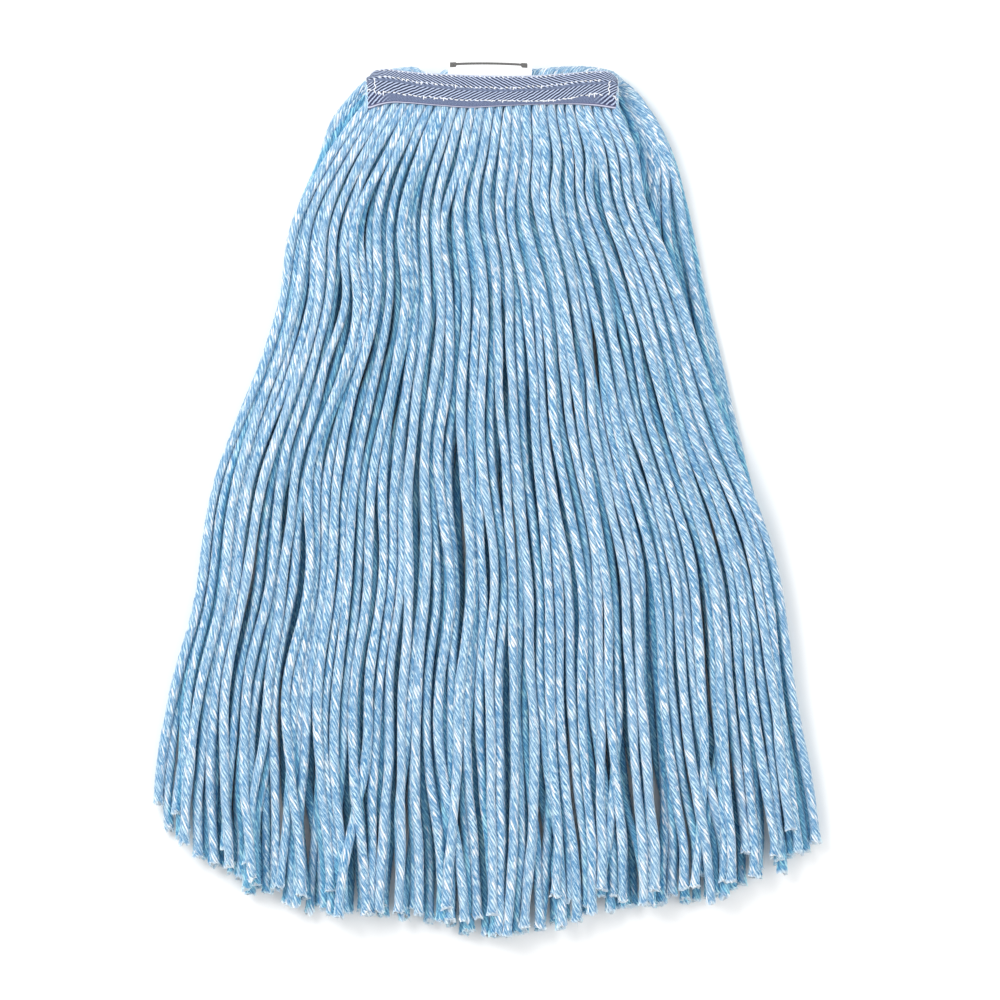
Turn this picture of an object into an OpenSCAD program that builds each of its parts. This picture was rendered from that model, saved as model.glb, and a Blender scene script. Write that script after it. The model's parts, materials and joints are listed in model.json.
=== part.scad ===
// Cut-end string mop head, lying flat and folded in half at its sewn headband.
// X runs along the headband, +Y points from the strand tips towards the headband, +Z is up.
// The origin is the middle of the headband's front face. All sizes are in millimetres.

/* [Headband] */
// Length of the headband along X
band_w = 167.6; // [160:0.2:180]
// Width of the headband tape along Y
band_h = 25.4; // [24:0.2:30]
// Thickness of the woven tape
tape_t = 1.2; // [0.9:0.1:1.6]
// Outer radius where the front tape wraps round the ends
wrap_r = 3; // [2:0.5:4]
// How far the front tape returns over the back at each end
wrap_return = 9; // [6:0.5:14]

/* [Yarn] */
// Diameter of one twisted strand
yarn_d = 4.2; // [3.6:0.1:4.3]
// Height between the three rows of strands inside the headband
row_gap = 3.8; // [3.8:0.1:4.4]
// Strands in the upper row of each side lock
side_columns = 9; // [6:1:9]
// Strands in the upper row of the middle lock
middle_columns = 11; // [6:1:11]
// Extra room between neighbouring locks at the headband
lock_gap = 2; // [1.6:0.2:3]

/* [Fan] */
// Half of the fan's width at the tips
fan_half_w = 212; // [190:1:230]
// Reach of the middle strands, from the headband's centre line to their tips
tip_reach = 548; // [480:1:600]
// How much less the outermost strands reach
edge_rise = 60; // [20:1:80]
// Largest difference between the cut lengths of neighbouring strands
tip_scatter = 7; // [0:0.5:10]
// Distance from the headband's centre line to the bend across the front strands
bend_reach = 270; // [200:1:300]
// Height between the rows of strands at the tips
tip_row_gap = 1; // [0.8:0.1:1.4]
// Height that stays free between the front strands and the back strands at the tips
layer_gap = 0.5; // [0.4:0.1:1]
// Height of the back strands' fold line above the headband's centre line
fold_y = 6; // [5:0.5:8]

/* [Stitching] */
// Diameter of the sewing thread
thread_d = 0.7; // [0.5:0.05:0.8]
// Distance from one lock stitch to the next
stitch_pitch = 3.4; // [3:0.1:5]
// Height of the top row of stitches above the headband's centre line
stitch_top_y = 7.2; // [6.8:0.1:7.4]
// Height of the middle row of stitches above the headband's centre line
stitch_middle_y = 2.2; // [1:0.1:4]
// Depth of the bottom row of stitches below the headband's centre line
stitch_bottom_y = 4.6; // [2:0.1:8]
// Share of each stitch that shows on the tape, the rest passes through it
stitch_share = 0.8; // [0.6:0.05:0.9]
// Distance from each end of the headband to the middle of its bar tack
tack_inset = 3.4; // [3.2:0.1:4.2]
// Length of the threads in a bar tack
tack_thread = 2; // [1.4:0.1:2]
// Threads in a bar tack
tack_turns = 7; // [4:1:8]

/* [Label] */
// Width of the sewn-in label
label_w = 55; // [40:1:60]
// Height of the label
label_h = 10.4; // [9:0.2:14]
// Thickness of the label
label_t = 0.7; // [0.6:0.1:1]
// Height of the dark edge along the top of the label
border_h = 2; // [1:0.1:3]
// Height of the label's lower edge above the headband's centre line
label_y = 8.6; // [8.4:0.1:9.4]
// Thickness of the dark edge's yarn on the label's face
border_t = 0.15; // [0.1:0.05:0.3]
// Distance of the label's middle from the middle of the headband
label_x = -1.3; // [-10:0.1:10]

/* [Hidden] */
$fn = 48;

// Colours of the yarn layers, the tape, the thread and the label
front_blue = "#8FB4CE";
tip_blue = "#A5C5DA";
back_blue = "#7DA3C0";
fold_blue = "#6E95B4";
tape_colour = "#8E9AB8";
thread_white = "#F2F2EC";
border_grey = "#5C6068";

// Clearance between solids that lie against each other
slack = 0.1;
// Hairline clearance between a solid and the face that it is sewn flat to
contact_gap = 0.02;
// Clearance between the two cut faces where a front strand bends
bend_slack = 0.3;
// Strands that drift sideways by less than this are straight
straight_below = 1.5;
// Steps in each rounded corner of the tape's section
corner_steps = 6;
// How far a cutting shape reaches past the face that it cuts
overcut = 1;

// Headband section: tape, three rows of strands, tape
core_half = row_gap + yarn_d / 2;
band_t = 2 * (core_half + slack + tape_t);
fold_z = -band_t;
band_bottom = -band_h / 2;
band_top = band_h / 2;

// Columns of strands: three locks, left to right
LEFT = 0;
MIDDLE = 1;
RIGHT = 2;
columns = [side_columns, middle_columns, side_columns];
outer_x = band_w / 2 - tape_t - slack - yarn_d / 2;
column_pitch = (2 * outer_x - 2 * lock_gap) / (2 * side_columns + middle_columns - 1);
lock_x = [
    -outer_x,
    -outer_x + side_columns * column_pitch + lock_gap,
    -outer_x + (side_columns + middle_columns) * column_pitch + 2 * lock_gap
];

// Lanes at the tips: every strand has its own, and one lane stays free between two locks
lanes_in = [for (n = columns) 3 * n - 1];
lane_first = [0, lanes_in[0] + 1, lanes_in[0] + lanes_in[1] + 2];
lane_pitch = 2 * fan_half_w / (lane_first[2] + lanes_in[2] - 1);

// Rows, counted from the front face
rows = [0, 1, 2];
lane_in_column = [0, 2, 1];
function row_z(row) = -band_t / 2 + (1 - row) * row_gap;
function fold_r(row) = row_z(row) - fold_z;
function back_z(row) = fold_z - fold_r(row);
function back_tip_z(row) = back_z(0) + row * tip_row_gap;
function front_tip_z(row) = back_tip_z(2) + yarn_d + layer_gap + (2 - row) * tip_row_gap;

function columns_in(lock, row) = columns[lock] - (row == 1 ? 1 : 0);
function root_x(lock, row, column) = lock_x[lock] + (column + (row == 1 ? 0.5 : 0)) * column_pitch;
function lane(lock, row, column) = lane_first[lock] + 3 * column + lane_in_column[row];
function tip_x(lane_no) = -fan_half_w + lane_no * lane_pitch;
function scatter(lane_no) = tip_scatter * sin(97 * lane_no) * cos(31 * lane_no);
function tip_y(lane_no) =
    -tip_reach + edge_rise * pow(abs(tip_x(lane_no)) / fan_half_w, 3) + scatter(lane_no);
function row_tilt(y_root, z_root, z_tip) = atan((z_root - z_tip) / (y_root + tip_reach));

// Points of an arc, from one angle to another
function arc_points(x, y, r, from, to) = [
    for (i = [0 : corner_steps])
        let (a = from + (to - from) * i / corner_steps) [x + r * cos(a), y + r * sin(a)]
];

// Part of one strand, between two distances from its root. The strand leaves its root at a slant and
// curves until it lies parallel to Y at the tip.
module strand_piece(x_root, x_tip, reach, from, to) {
    drift = abs(x_tip - x_root);
    if (drift < straight_below) {
        translate([x_root, -from, 0]) rotate([90, 0, 0]) cylinder(h = to - from, d = yarn_d);
    } else {
        r = (reach * reach + drift * drift) / (2 * drift);
        slant_from = asin((reach - from) / r);
        slant_to = asin((reach - to) / r);
        translate([x_root, 0, 0])
            mirror([x_tip < x_root ? 1 : 0, 0, 0])
                translate([drift - r, -reach, 0])
                    rotate([0, 0, slant_to])
                        rotate_extrude(angle = slant_from - slant_to)
                            translate([r, 0]) circle(d = yarn_d);
    }
}

// Distance from a strand's root to its first full section, clear of the strand that it continues
function root_clearance(x_root, x_tip, reach) =
    slack + yarn_d / 2 * sin(2 * atan(abs(x_tip - x_root) / reach));

// All strands of one lock in one layer, or the part of them between two distances from the root
module lock_strands(lock, layer, y_root, from = 0, to = 2 * tip_reach) {
    for (row = rows) {
        z_root = layer == "front" ? row_z(row) : back_z(row);
        z_tip = layer == "front" ? front_tip_z(row) : back_tip_z(row);
        tilt = row_tilt(y_root, z_root, z_tip);
        translate([0, y_root, z_root]) rotate([tilt, 0, 0])
            for (column = [0 : columns_in(lock, row) - 1]) {
                lane_no = lane(lock, row, column);
                x_root = root_x(lock, row, column);
                reach = y_root - tip_y(lane_no);
                first = max(from, root_clearance(x_root, tip_x(lane_no), reach));
                strand_piece(x_root, tip_x(lane_no), reach, first, min(to, reach));
            }
    }
}

bend_from_edge = bend_reach + band_bottom;

module front_strands(lock) {
    color(front_blue) lock_strands(lock, "front", band_bottom, to = bend_from_edge - bend_slack / 2);
}

module front_tips(lock) {
    color(tip_blue) lock_strands(lock, "front", band_bottom, from = bend_from_edge + bend_slack / 2);
}

module back_strands(lock) {
    color(back_blue) lock_strands(lock, "back", fold_y);
}

// Half turns that carry the strands from inside the headband round to its back
module back_fold(lock) {
    color(fold_blue)
        for (row = rows) for (column = [0 : columns_in(lock, row) - 1])
            translate([root_x(lock, row, column), fold_y, fold_z])
                rotate([90, 0, 90]) rotate([0, 0, -90])
                    rotate_extrude(angle = 180)
                        translate([fold_r(row), 0]) circle(d = yarn_d);
}

// Straight middles of all strands, sewn between the tapes
module band_yarn() {
    color(fold_blue)
        for (lock = [LEFT, MIDDLE, RIGHT]) for (row = rows) for (column = [0 : columns_in(lock, row) - 1])
            translate([root_x(lock, row, column), fold_y - slack, row_z(row)]) rotate([90, 0, 0])
                cylinder(h = fold_y - slack - band_bottom, d = yarn_d);
}

// Section of the front tape: the front face, both wrapped ends and the returns over the back
module wrap_section() {
    half_w = band_w / 2;
    inner_r = wrap_r - tape_t;
    outer_right = concat(
        arc_points(half_w - wrap_r, -wrap_r, wrap_r, 90, 0),
        arc_points(half_w - wrap_r, fold_z + wrap_r, wrap_r, 0, -90)
    );
    inner_right = concat(
        arc_points(half_w - wrap_r, fold_z + wrap_r, inner_r, -90, 0),
        arc_points(half_w - wrap_r, -wrap_r, inner_r, 0, 90)
    );
    right = concat(
        outer_right,
        [[half_w - wrap_return, fold_z], [half_w - wrap_return, fold_z + tape_t]],
        inner_right
    );
    left = [for (i = [len(right) - 1 : -1 : 0]) [-right[i][0], right[i][1]]];
    polygon(concat(right, left));
}

// A shallow channel for a row of stitches
module stitch_groove(y, z, length) {
    translate([-length / 2, y, z]) rotate([0, 90, 0]) cylinder(h = length, d = thread_d + 2 * slack);
}

// Where the threads' centre lines lie against the tape's faces
needle_z = slack;
bobbin_z = fold_z - slack;
row_inset = 2;
tack_x = band_w / 2 - tack_inset;
front_row_length = 2 * (tack_x - row_inset);
back_tape_w = band_w - 2 * (wrap_return + slack);
back_row_length = back_tape_w - 2 * row_inset;
needle_rows = [stitch_top_y, stitch_middle_y, -stitch_bottom_y];
bobbin_rows = [stitch_middle_y, -stitch_bottom_y];

// Pockets in the tape for the bar tacks and the label
pocket_depth = thread_d / 2;
tack_w = tack_thread + 4 * slack;
tack_h = 9;
tack_spacing = (tack_h - 2 * thread_d) / (tack_turns - 1);
label_bottom = -label_t;

module headband_tape_front() {
    color(tape_colour) difference() {
        translate([0, band_top, 0]) rotate([90, 0, 0]) linear_extrude(height = band_h) wrap_section();
        // the strands turn over above the fold line, so the wrapped ends stop there
        translate([-band_w, fold_y - slack, fold_z - overcut])
            cube([2 * band_w, band_h, band_t + overcut - tape_t]);
        for (y = needle_rows) stitch_groove(y, needle_z, front_row_length);
        for (side = [-1, 1])
            translate([side * tack_x - tack_w / 2, -tack_h / 2, -pocket_depth])
                cube([tack_w, tack_h, pocket_depth + overcut]);
        translate([label_x - label_w / 2 - slack, label_y - slack, label_bottom])
            cube([label_w + 2 * slack, band_h, label_t + overcut]);
    }
}

module headband_tape_back() {
    color(tape_colour) difference() {
        translate([-back_tape_w / 2, band_bottom, fold_z])
            cube([back_tape_w, fold_y - slack - band_bottom, tape_t]);
        for (y = bobbin_rows) stitch_groove(y, bobbin_z, back_row_length);
    }
}

// A length of thread along X, centred
module thread(length) {
    translate([-length / 2, 0, 0]) rotate([0, 90, 0]) cylinder(h = length, d = thread_d);
}

// One row of lock stitches: short lengths of thread, end to end along X
module stitch_row(y, z, length) {
    count = floor((length - stitch_pitch) / stitch_pitch) + 1;
    color(thread_white)
        for (i = [0 : count - 1])
            translate([(i - (count - 1) / 2) * stitch_pitch, y, z])
                thread(stitch_share * stitch_pitch);
}

// Close parallel stitches across the end of the rows
module bar_tack(side) {
    color(thread_white)
        for (i = [0 : tack_turns - 1])
            translate([side * tack_x, (i - (tack_turns - 1) / 2) * tack_spacing, contact_gap])
                thread(tack_thread);
}

module care_label() {
    color(thread_white)
        translate([label_x - label_w / 2, label_y, label_bottom + slack])
            cube([label_w, label_h, label_t]);
}

module label_border() {
    color(border_grey)
        translate([label_x - label_w / 2, label_y + label_h - border_h, slack + contact_gap])
            cube([label_w, border_h, border_t]);
}

headband_tape_front();
headband_tape_back();
band_yarn();
stitch_row(needle_rows[0], needle_z, front_row_length);  // needle_thread_top
stitch_row(needle_rows[1], needle_z, front_row_length);  // needle_thread_middle
stitch_row(needle_rows[2], needle_z, front_row_length);  // needle_thread_bottom
stitch_row(bobbin_rows[0], bobbin_z, back_row_length);  // bobbin_thread_middle
stitch_row(bobbin_rows[1], bobbin_z, back_row_length);  // bobbin_thread_bottom
bar_tack(-1);  // bar_tack_left
bar_tack(1);  // bar_tack_right
care_label();
label_border();
front_strands(LEFT);  // front_left_strands
front_strands(MIDDLE);  // front_middle_strands
front_strands(RIGHT);  // front_right_strands
front_tips(LEFT);  // front_left_tips
front_tips(MIDDLE);  // front_middle_tips
front_tips(RIGHT);  // front_right_tips
back_fold(LEFT);  // back_left_fold
back_fold(MIDDLE);  // back_middle_fold
back_fold(RIGHT);  // back_right_fold
back_strands(LEFT);  // back_left_strands
back_strands(MIDDLE);  // back_middle_strands
back_strands(RIGHT);  // back_right_strands
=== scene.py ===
"""Looks of the string mop head: twisted yarn, headband tape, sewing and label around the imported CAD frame."""

import json
import math

import bpy
import numpy as np
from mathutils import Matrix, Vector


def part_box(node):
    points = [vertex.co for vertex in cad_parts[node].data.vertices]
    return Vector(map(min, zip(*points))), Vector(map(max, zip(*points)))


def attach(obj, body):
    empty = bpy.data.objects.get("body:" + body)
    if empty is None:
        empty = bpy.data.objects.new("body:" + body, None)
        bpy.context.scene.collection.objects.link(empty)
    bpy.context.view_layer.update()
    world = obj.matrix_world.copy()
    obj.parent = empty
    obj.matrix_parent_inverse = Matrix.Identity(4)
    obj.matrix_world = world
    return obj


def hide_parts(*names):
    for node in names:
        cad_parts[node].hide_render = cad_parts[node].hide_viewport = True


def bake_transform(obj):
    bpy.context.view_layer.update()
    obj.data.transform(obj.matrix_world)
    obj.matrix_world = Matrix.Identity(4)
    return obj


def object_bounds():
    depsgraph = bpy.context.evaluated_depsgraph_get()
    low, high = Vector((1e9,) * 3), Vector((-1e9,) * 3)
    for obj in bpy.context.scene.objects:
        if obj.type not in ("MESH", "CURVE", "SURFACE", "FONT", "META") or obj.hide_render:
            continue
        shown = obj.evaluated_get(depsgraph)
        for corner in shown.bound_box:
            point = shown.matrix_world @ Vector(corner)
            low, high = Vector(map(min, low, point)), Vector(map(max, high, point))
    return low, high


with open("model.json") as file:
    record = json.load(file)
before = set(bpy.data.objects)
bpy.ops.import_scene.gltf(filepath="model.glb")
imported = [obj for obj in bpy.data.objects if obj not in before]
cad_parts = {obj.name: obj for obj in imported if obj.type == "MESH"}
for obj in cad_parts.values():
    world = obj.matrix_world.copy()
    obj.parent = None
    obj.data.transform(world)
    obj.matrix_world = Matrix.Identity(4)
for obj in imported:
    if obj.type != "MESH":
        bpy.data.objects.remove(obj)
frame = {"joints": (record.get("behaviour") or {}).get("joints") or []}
cad_low, cad_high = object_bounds()

MM = 0.001
LOCKS = ("left", "middle", "right")
COLUMNS = {"left": 9, "middle": 11, "right": 9}
ROWS = (0, 1, 2)
rng = np.random.default_rng(23)


# ---------------------------------------------------------------- the frame's measures, in millimetres
def node_box(node):
    low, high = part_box(node)
    return np.array(low) / MM, np.array(high) / MM


def joint_point(name):
    found = next(j for j in frame["joints"] if j["name"] == name)
    return np.array(found["pos_m"]) / MM


band_low, band_high = node_box("headband_tape_front")
yarn_low, yarn_high = node_box("band_yarn")
fold_axis = joint_point("back_middle_open")
mop_low, mop_high = np.array(cad_low) / MM, np.array(cad_high) / MM

YARN_R = 3.0
CAD_YARN_D = 4.2
FLOOR_GAP = 0.5
outer_x = yarn_high[0] - CAD_YARN_D / 2
row_gap = (yarn_high[2] - yarn_low[2] - CAD_YARN_D) / 2
band_edge = band_low[1]
floor_z = mop_low[2] - FLOOR_GAP


# ---------------------------------------------------------------- numbers that vary along a line
def smooth_step(x):
    x = np.clip(x, 0, 1)
    return x * x * (3 - 2 * x)


def through(points):
    """A smooth curve through a few (distance, value) points."""
    at, value = np.array(points, float).T
    slope = np.gradient(value, at)

    def curve(x):
        i = np.clip(np.searchsorted(at, x) - 1, 0, len(at) - 2)
        step = at[i + 1] - at[i]
        t = np.clip((x - at[i]) / step, 0, 1)
        return (
            value[i] * (1 + 2 * t) * (1 - t) ** 2
            + slope[i] * step * t * (1 - t) ** 2
            + value[i + 1] * t * t * (3 - 2 * t)
            - slope[i + 1] * step * t * t * (1 - t)
        )

    return curve


def blurred(values, sigma):
    """Gaussian smoothing of a line of samples, with its ends held."""
    reach = int(3 * sigma) + 1
    kernel = np.exp(-0.5 * (np.arange(-reach, reach + 1) / sigma) ** 2)
    padded = np.concatenate([np.full(reach, values[0]), values, np.full(reach, values[-1])])
    return np.convolve(padded, kernel / kernel.sum(), "valid")


def highest_near(values, reach):
    """The largest value within reach samples of each sample."""
    padded = np.concatenate([np.full(reach, -1e9), values, np.full(reach, -1e9)])
    return np.max([padded[i : i + len(values)] for i in range(2 * reach + 1)], axis=0)


# ---------------------------------------------------------------- where the strands lie
# Half width of the heap, to its outermost strand's middle, at the distances below the headband where its edge bends
LEFT_SIDE = [(30, 110), (70, 127), (125, 136), (250, 181), (320, 192), (370, 204), (450, 212)]
RIGHT_SIDE = [(30, 116), (60, 126), (170, 153), (290, 182), (390, 197), (480, 210)]
FRONT_RIGHT_SIDE = [(0, 80), (30, 93), (55, 97), (100, 115), (200, 147)] + RIGHT_SIDE[3:]
EDGES = {
    "front": (through([(-4, 80), (26, 103)] + LEFT_SIDE[1:]), through(FRONT_RIGHT_SIDE)),
    "back": (
        through([(-20, 80), (-13, 87), (8, 103)] + LEFT_SIDE),
        through([(-20, 82), (-13, 91), (5, 104)] + RIGHT_SIDE),
    ),
}
# The tips form an arch across the fan, which is cut away at the corners and uneven by bunches
LONGEST, ARCH, ARCH_POWER = 553, 48, 1.6
LEFT_CORNER, RIGHT_CORNER, CORNER_POWER = 35, 5, 20
UNEVEN, UNEVEN_WAVES, UNEVEN_CREST = 4, 3.25, 0.533


def tip_reach(lane):
    """Distance from the headband's middle to the tips, at a place across the fan from left (0) to right (1)."""
    aside = 2 * lane - 1
    corner = LEFT_CORNER if aside < 0 else RIGHT_CORNER
    arch = ARCH * abs(aside) ** ARCH_POWER + corner * abs(aside) ** CORNER_POWER
    return LONGEST - arch + UNEVEN * math.cos(2 * math.pi * UNEVEN_WAVES * (lane - UNEVEN_CREST))


# Distance between the points of a strand's path, and over what length it spreads from its place in the headband
STEP = 1.0
SPREAD_OVER = 120
# Of the inside row, one strand in this many finds a place between the outside ones
JOINS_OUTSIDE = 4
# How far cut ends turn aside, how ragged the tips are, and the front strands that end short of them
TIP_ASIDE, TIP_TURN_OVER = 7.5, 150
RAGGED = 2.0
SHORT_SHARE = 0.45
SHORT_BY = 19.0
# A strand's own waves along its length: wavelength and size
STRAND_WAVES = ((150, 1.2), (70, 0.45))
# How far strands stray from even places across the fan: wavelength along them and share of their spacing
OWN_WAVES = ((520, 0.26), (250, 0.13), (110, 0.05))
# Strands to a bunch, and how far they draw together
BUNCH = 7.0
BUNCH_DRIFT = 0.2
# Step from one lock's last column to the next lock's first, as a share of the step within a lock
LOCK_STEP = 0.7


def strand_list():
    """Every strand's lock, row and place in the headband, from left to right."""
    found, place = [], 0.0
    pitch = 2 * outer_x / (sum(COLUMNS.values()) - len(LOCKS) + (len(LOCKS) - 1) * LOCK_STEP)
    for lock in LOCKS:
        for column in range(COLUMNS[lock]):
            for row in ROWS:
                if row == 1 and column == COLUMNS[lock] - 1:
                    continue
                found.append((lock, row, -outer_x + (place + column + (0.5 if row == 1 else 0)) * pitch))
        place += COLUMNS[lock] - 1 + LOCK_STEP
    return sorted(found, key=lambda strand: strand[2])


STRANDS = strand_list()


def even_places():
    """Places across the open fan, and how deep each strand lies: the outside side by side, the rest under them."""
    inner = [i for i, strand in enumerate(STRANDS) if strand[1] == ROWS[-1]]
    inside = [i for k, i in enumerate(inner) if k % JOINS_OUTSIDE != 1]
    outside = [i for i in range(len(STRANDS)) if i not in inside]
    places = np.zeros(len(STRANDS))
    places[outside] = np.arange(len(outside)) / (len(outside) - 1)
    places[inside] = (np.arange(len(inside)) + 0.5) / len(inside)
    deep = [strand[1] if i in inside else min(strand[1], 1) for i, strand in enumerate(STRANDS)]
    return places, 1 / (len(outside) - 1), deep


EVEN_PLACES, LANE, DEEP = even_places()


def row_z(row):
    return (band_low[2] + band_high[2]) / 2 + (1 - row) * row_gap


def lanes_down_the_fan(layer):
    """Where each strand lies across the fan, from 0 to 1, at every millimetre below the headband."""
    down = np.arange(0, -mop_low[1] + 20, STEP)
    number = EVEN_PLACES[:, None] / LANE
    place = number + np.zeros(len(down)) - (0.5 if layer == "back" else 0.0)
    for wavelength, size in OWN_WAVES:
        turn = down / wavelength + rng.random((len(STRANDS), 1))
        place += size * rng.normal(size=(len(STRANDS), 1)) * np.sin(2 * math.pi * turn)
    bunch = number / BUNCH + 0.5 * np.sin(number / 5.3) + 0.3 * np.sin(down / 120 + number / 9)
    place += BUNCH_DRIFT * np.sin(2 * math.pi * (bunch + rng.random()))
    return down, np.clip(place * LANE, 0, 1)


LANES = {layer: lanes_down_the_fan(layer) for layer in ("back", "front")}


def wander(y, calm):
    """One strand's own waviness, and the way its cut end turns aside."""
    total = np.zeros_like(y)
    for wavelength, size in STRAND_WAVES:
        total += size * rng.normal() * np.sin(2 * math.pi * (y / wavelength + rng.random()))
    total *= 1 - 0.6 * smooth_step((y[0] - y - 150) / 200)
    to_tip = y - y[-1]
    return total * calm + TIP_ASIDE * rng.normal() * smooth_step(1 - to_tip / TIP_TURN_OVER) ** 1.5


def tip_y(lane, layer):
    reach = tip_reach(lane) - abs(rng.normal()) * RAGGED
    short, by = rng.random(), rng.random()
    if layer == "front" and short < SHORT_SHARE:
        reach -= SHORT_BY * by
    return -reach


def plan_path(i, layer, y_start):
    """Strand i seen from above: x at evenly spaced y, from y_start down to its tip."""
    y = np.arange(y_start, tip_y(EVEN_PLACES[i], layer), -STEP)
    below = band_edge - y
    left, right = EDGES[layer]
    down, lanes = LANES[layer]
    spread = smooth_step(below / SPREAD_OVER)
    across_root = (STRANDS[i][2] + outer_x) / (2 * outer_x)
    across = across_root * (1 - spread) + np.interp(below, down, lanes[i]) * spread
    if layer == "back":
        crowd = np.where(across < 0.5, CROWD_LEFT, CROWD_RIGHT) * (1 - smooth_step(below / CROWD_OVER))
        across = across + crowd * np.sin(2 * math.pi * (across - 0.5))
    x = -left(below) * (1 - across) + right(below) * across
    calm = smooth_step((below + 4) / 60)
    inside = np.clip(8 * np.minimum(across, 1 - across), 0, 1)
    return x + wander(y, calm) * (0.3 + 0.7 * inside), y


# ---------------------------------------------------------------- how the strands pile up
def smoothing(count, sigma):
    """A matrix that smooths a line of samples."""
    i = np.arange(count)
    share = np.exp(-0.5 * ((i[:, None] - i) / sigma) ** 2)
    return share / share.sum(axis=1, keepdims=True)


class Heap:
    """Height of the pile over a grid, so that each strand laid down rests on those before it."""

    cell = 1.0
    # How far strands flatten each other, and how high one held by its neighbours lies over the tops beneath it
    give = 0.68
    held = 0.5

    def __init__(self):
        self.x0, self.y0 = mop_low[0] - 30, mop_low[1] - 30
        nx = int((mop_high[0] - mop_low[0] + 60) / self.cell)
        ny = int((mop_high[1] - mop_low[1] + 80) / self.cell)
        self.height = np.full((nx, ny), floor_z)
        self.common = self.height.copy()
        reach = int(YARN_R / self.cell) + 1
        self.around = [(i, j) for i in range(-reach, reach + 1) for j in range(-reach, reach + 1)]

    def highest(self, reach):
        """The highest point within reach of each cell."""
        top = self.height.copy()
        for axis in (0, 1):
            top = np.max([np.roll(top, k, axis) for k in range(-reach, reach + 1)], axis=0)
        return top

    def level_off(self, reach=4, sigma=8.0):
        """Take the smoothed tops as the least height at which the next row lies."""
        nx, ny = self.height.shape
        self.common = smoothing(nx, sigma) @ self.highest(reach) @ smoothing(ny, sigma).T

    def cells(self, x, y):
        """Grid cells under a strand's width, with how high its round section stands over each."""
        ix = np.round((x - self.x0) / self.cell).astype(int)
        iy = np.round((y - self.y0) / self.cell).astype(int)
        for i, j in self.around:
            cx, cy = ix + i, iy + j
            dx, dy = self.x0 + cx * self.cell - x, self.y0 + cy * self.cell - y
            bulge = YARN_R**2 - dx**2 - dy**2
            yield cx, cy, bulge > 0, self.give * np.sqrt(np.maximum(bulge, 0))

    def rest_on(self, x, y):
        ix = np.round((x - self.x0) / self.cell).astype(int)
        iy = np.round((y - self.y0) / self.cell).astype(int)
        needed = np.maximum(floor_z + YARN_R, self.common[ix, iy] + self.held * YARN_R)
        for cx, cy, over, bulge in self.cells(x, y):
            needed = np.where(over, np.maximum(needed, self.height[cx, cy] + bulge), needed)
        taut = blurred(highest_near(needed, 5), 9)
        return blurred(np.maximum(taut, needed - 0.5), 3)

    def lay(self, x, y, z):
        for cx, cy, over, bulge in self.cells(x, y):
            np.maximum.at(self.height, (cx[over], cy[over]), (z + bulge)[over])

    def depth(self, points):
        """How far points lie below the top of the pile around them, in millimetres."""
        top = self.highest(3)
        ix = np.round((points[:, 0] - self.x0) / self.cell).astype(int)
        iy = np.round((points[:, 1] - self.y0) / self.cell).astype(int)
        return np.maximum(top[ix, iy] - points[:, 2], 0)


# The back yarn runs level this far from the fold, then settles on the heap
RUN_OUT = 42
SETTLE_OVER = 70
# Height of the folds' tops across the headband, where the loops show over the tape
FOLD_TOP = through(
    [(-84, 5), (-75, 11), (-62, 15.2), (-49, 15.8), (-41, 11), (-30, 14), (26, 15), (60, 16.6), (75, 14), (87, 7)]
)
BAND_START = -11
# How strongly the back layer crowds to its two sides, and how far down
CROWD_LEFT, CROWD_RIGHT, CROWD_OVER = 0.08, 0.13, 90
TAPE_T = 1.2
# How high a strand's middle may lie where it leaves the tape, each row's step down, and how quickly it may then rise
EXIT_Z = -TAPE_T - 2.6
EXIT_STEP = 1.2
RISE = 0.16
# The straight part of a front strand runs between these heights above the headband's lower edge
STRAIGHT_FROM, STRAIGHT_TO = 12, 4
ARC_POINTS = 40


def in_the_band(root, y, row):
    """The straight part of a path between the tapes."""
    return np.column_stack([np.full(len(y), root), y, np.full(len(y), row_z(row))])


def front_path(heap, i):
    """Out of the headband's lower edge and down over the heap."""
    _, row, root = STRANDS[i]
    start = band_edge + STRAIGHT_TO
    x, y = plan_path(i, "front", start)
    below = start - y
    pile = heap.rest_on(x, y)
    fall = 1 - smooth_step(below / SETTLE_OVER)
    z = np.maximum(pile, pile + (row_z(row) - pile) * fall)
    z = blurred(np.minimum(z, max(row_z(row), EXIT_Z - EXIT_STEP * row) + RISE * below), 4)
    heap.lay(x, y, z)
    inside = in_the_band(root, np.arange(band_edge + STRAIGHT_FROM, start, -STEP), row)
    return np.vstack([inside, np.column_stack([x, y, z])])


def back_path(heap, i):
    """Out of the headband's upper edge, round the fold and back underneath."""
    _, row, root = STRANDS[i]
    radius = row_z(row) - fold_axis[2]
    x, y = plan_path(i, "back", fold_axis[1])
    pile = heap.rest_on(x, y)
    fall = 1 - smooth_step((fold_axis[1] - y - RUN_OUT) / SETTLE_OVER)
    z = pile + (fold_axis[2] - radius - pile) * fall
    heap.lay(x, y, z)
    turn = np.linspace(0, math.pi, ARC_POINTS)
    slide = smooth_step(turn / math.pi * 1.15)
    largest = row_z(0) - fold_axis[2]
    rise = (FOLD_TOP((root + x[0]) / 2) - fold_axis[1] - 0.85 * YARN_R) / largest
    arc = np.column_stack([
        root + (x[0] - root) * slide,
        fold_axis[1] + rise * radius * np.sin(turn),
        fold_axis[2] + radius * np.cos(turn),
    ])
    inside = in_the_band(root, np.arange(BAND_START, fold_axis[1], STEP), row)
    return np.vstack([inside, arc[:-1], np.column_stack([x, y, z])])


def lay_all():
    """The path of every strand, both layers, from the bottom of the heap to its top."""
    heap, paths = Heap(), {}
    for layer, path, order in (("back", back_path, (0, 1, 2)), ("front", front_path, (2, 1, 0))):
        for row in order:
            heap.level_off()
            for i in rng.permutation(len(STRANDS)):
                if DEEP[i] == row:
                    paths[layer, i] = path(heap, i)
    return paths, heap


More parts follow.
